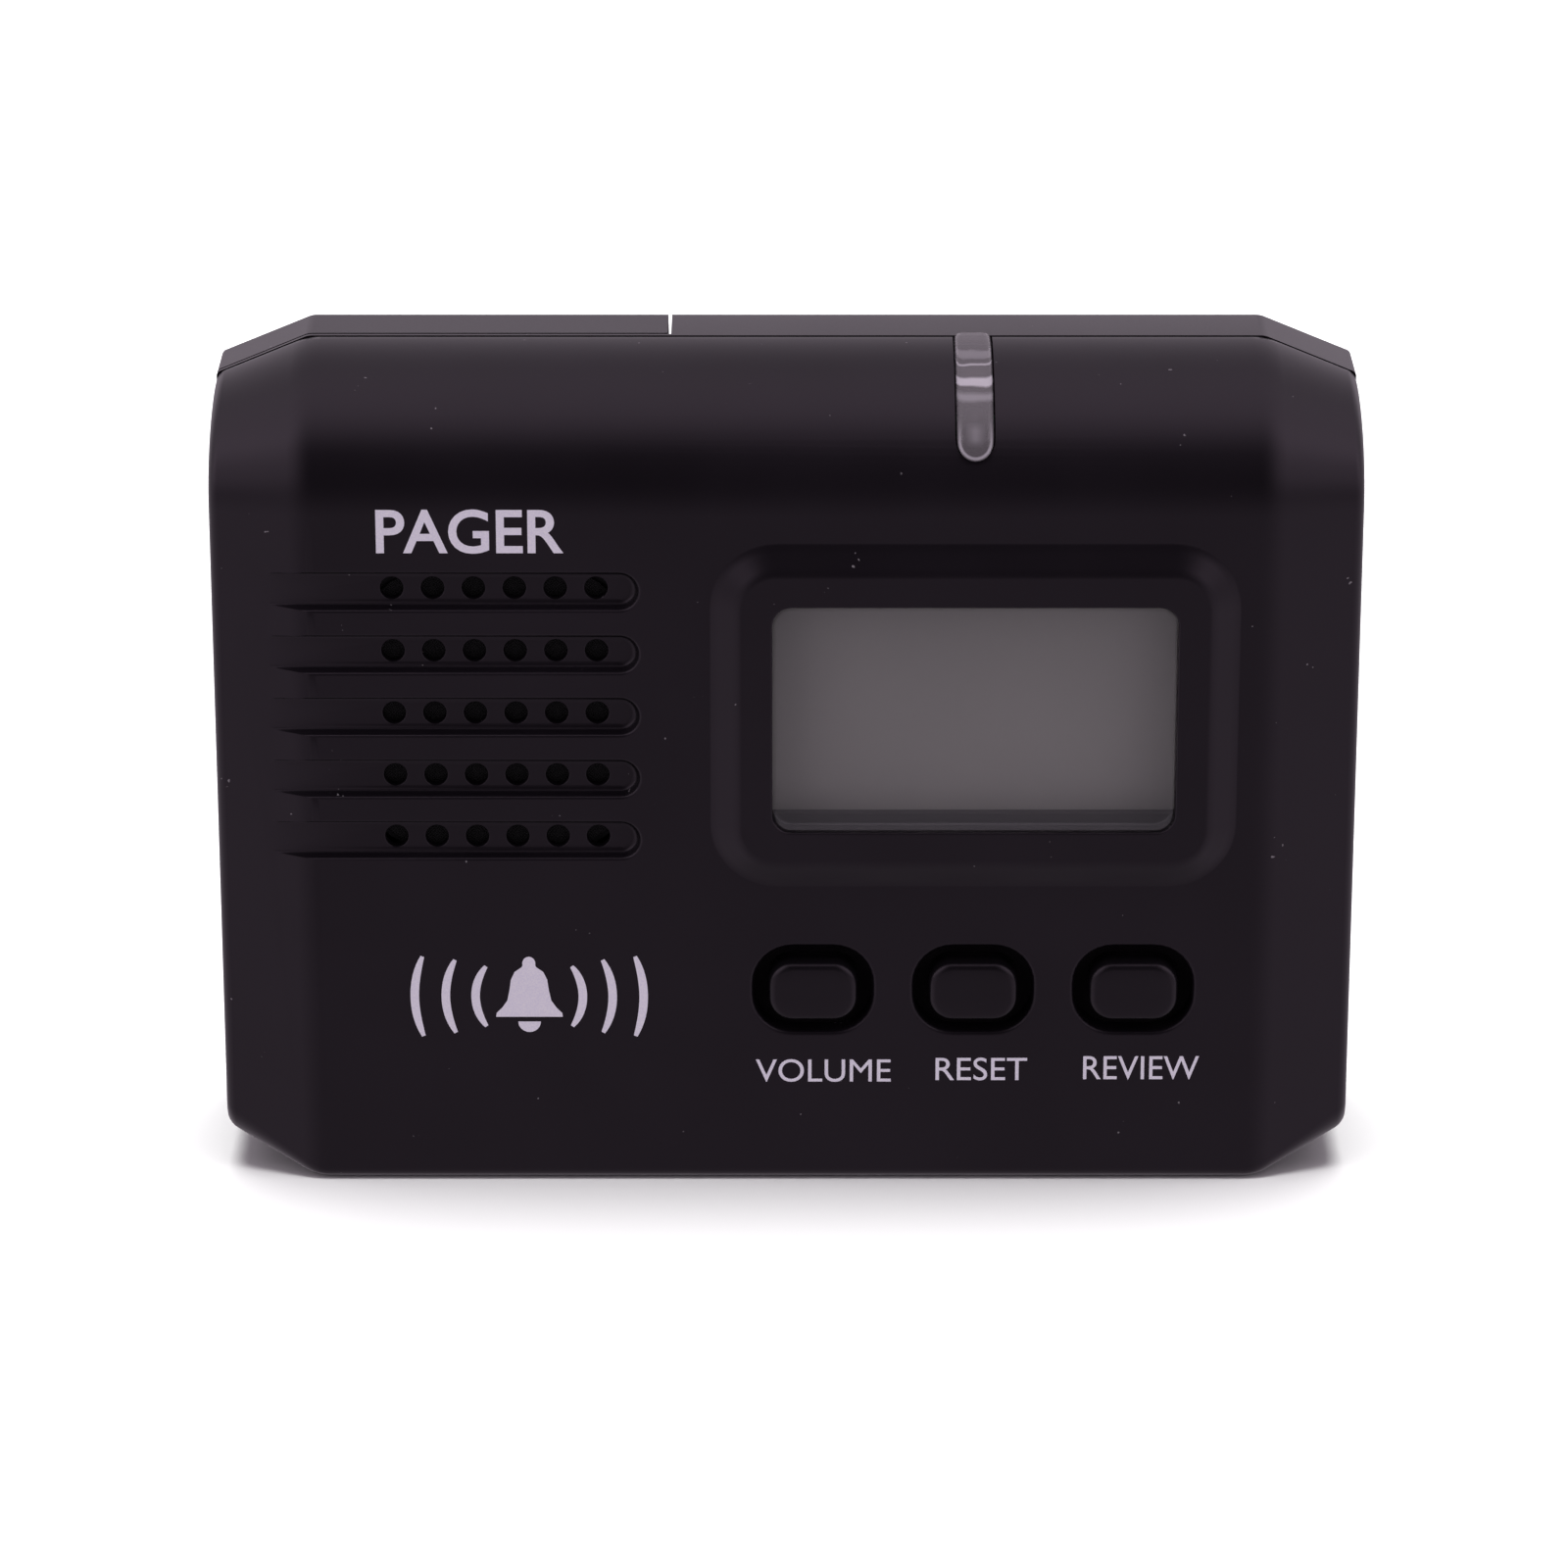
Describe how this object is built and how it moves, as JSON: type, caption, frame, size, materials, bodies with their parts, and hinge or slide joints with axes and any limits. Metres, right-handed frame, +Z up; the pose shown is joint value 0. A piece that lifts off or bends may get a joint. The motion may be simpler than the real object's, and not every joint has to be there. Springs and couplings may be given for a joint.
{
  "type": "pager",
  "caption": "Small two-part plastic receiver with a display window, push keys, a slotted speaker grille, a sliding battery door and a sprung belt clip.",
  "frame": {"origin": "middle of the footprint, at the foot the pager stands on", "axes": "+X to the right as the user faces the front, +Y from the front face to the belt clip, +Z up"},
  "size_m": [0.095, 0.031, 0.0703],
  "materials": {
    "case": "fine matte moulded grain",
    "key": "satin moulded plastic",
    "inner_plastic": "matte",
    "lens": "polished, clear",
    "light_pipe": "polished, clear",
    "display": "satin grey liquid-crystal display",
    "zebra_rubber": "soft, striped",
    "led": "clear epoxy",
    "mesh": "woven, fine",
    "foam": "closed-cell foam",
    "cone": "pressed paper",
    "board": "solder mask over glass-fibre",
    "chip": "moulded epoxy",
    "capacitor": "plastic sleeve",
    "cell": "printed film sleeve",
    "steel": "satin",
    "tinned_metal": "tinned, soft shine",
    "spring_wire": "drawn wire, nickel-plated",
    "copper": "enamelled copper",
    "rubber": "soft",
    "red_wire": "plastic insulation",
    "black_wire": "plastic insulation",
    "ink": "pale printed ink"
  },
  "bodies": {
    "case": {"front_shell": "case", "rear_shell": "case", "clip_pin": "steel", "clip_spring": "spring_wire", "display_lens": "lens", "display_frame": "inner_plastic", "display_glass": "display", "display_strip": "zebra_rubber", "light_pipe": "light_pipe", "status_led": "led", "dust_mesh": "mesh", "speaker_gasket": "foam", "speaker_basket": "steel", "speaker_cone": "cone", "speaker_magnet": "tinned_metal", "main_board": "board", "controller_chip": "chip", "crystal_can": "tinned_metal", "smoothing_capacitor": "capacitor", "radio_module": "tinned_metal", "antenna_coil": "copper", "motor_can": "steel", "motor_sleeve": "rubber", "speaker_lead_red": "red_wire", "speaker_lead_black": "black_wire", "motor_lead_red": "red_wire", "motor_lead_black": "black_wire", "volume_switch": "chip", "reset_switch": "chip", "review_switch": "chip", "battery_cell_1": "cell", "board_screw_1": "steel", "battery_cell_2": "cell", "board_screw_2": "steel", "battery_cell_3": "cell", "board_screw_3": "steel", "case_screw_1": "steel", "case_screw_2": "steel", "case_screw_3": "steel", "case_screw_4": "steel", "negative_contact": "spring_wire", "upper_bridge": "spring_wire", "lower_bridge": "spring_wire", "positive_contact": "spring_wire", "battery_lead_red": "red_wire", "battery_lead_black": "black_wire"},
    "door": {"battery_door": "case"},
    "clip": {"belt_clip": "case"},
    "motor_rotor": {"motor_weight": "tinned_metal"},
    "volume_button": {"volume_key": "key", "volume_switch_stem": "inner_plastic"},
    "reset_button": {"reset_key": "key", "reset_switch_stem": "inner_plastic"},
    "review_button": {"review_key": "key", "review_switch_stem": "inner_plastic"}
  },
  "joints": [
    {"name": "volume_press", "type": "slide", "parent": "case", "child": "volume_button", "axis": [0, 1, 0], "range_m": [0, 0.0004], "stiffness_N_per_m": 800, "springref_m": -0.0005},
    {"name": "reset_press", "type": "slide", "parent": "case", "child": "reset_button", "axis": [0, 1, 0], "range_m": [0, 0.0004], "stiffness_N_per_m": 800, "springref_m": -0.0005},
    {"name": "review_press", "type": "slide", "parent": "case", "child": "review_button", "axis": [0, 1, 0], "range_m": [0, 0.0004], "stiffness_N_per_m": 800, "springref_m": -0.0005},
    {"name": "door_slide", "type": "slide", "parent": "case", "child": "door", "axis": [-1, 0, 0], "range_m": [0, 0.04]},
    {"name": "clip_hinge", "type": "hinge", "parent": "case", "child": "clip", "pos_m": [0.01705, 0.0114, 0.054], "axis": [1, 0, 0], "range_deg": [0, 25], "stiffness_Nm_per_rad": 0.05, "springref_deg": -17.19, "deforming": ["clip_spring"]},
    {"name": "motor_spin", "type": "hinge", "parent": "case", "child": "motor_rotor", "pos_m": [0.028, -0.0002, 0.0115], "axis": [1, 0, 0], "continuous": true}
  ]
}
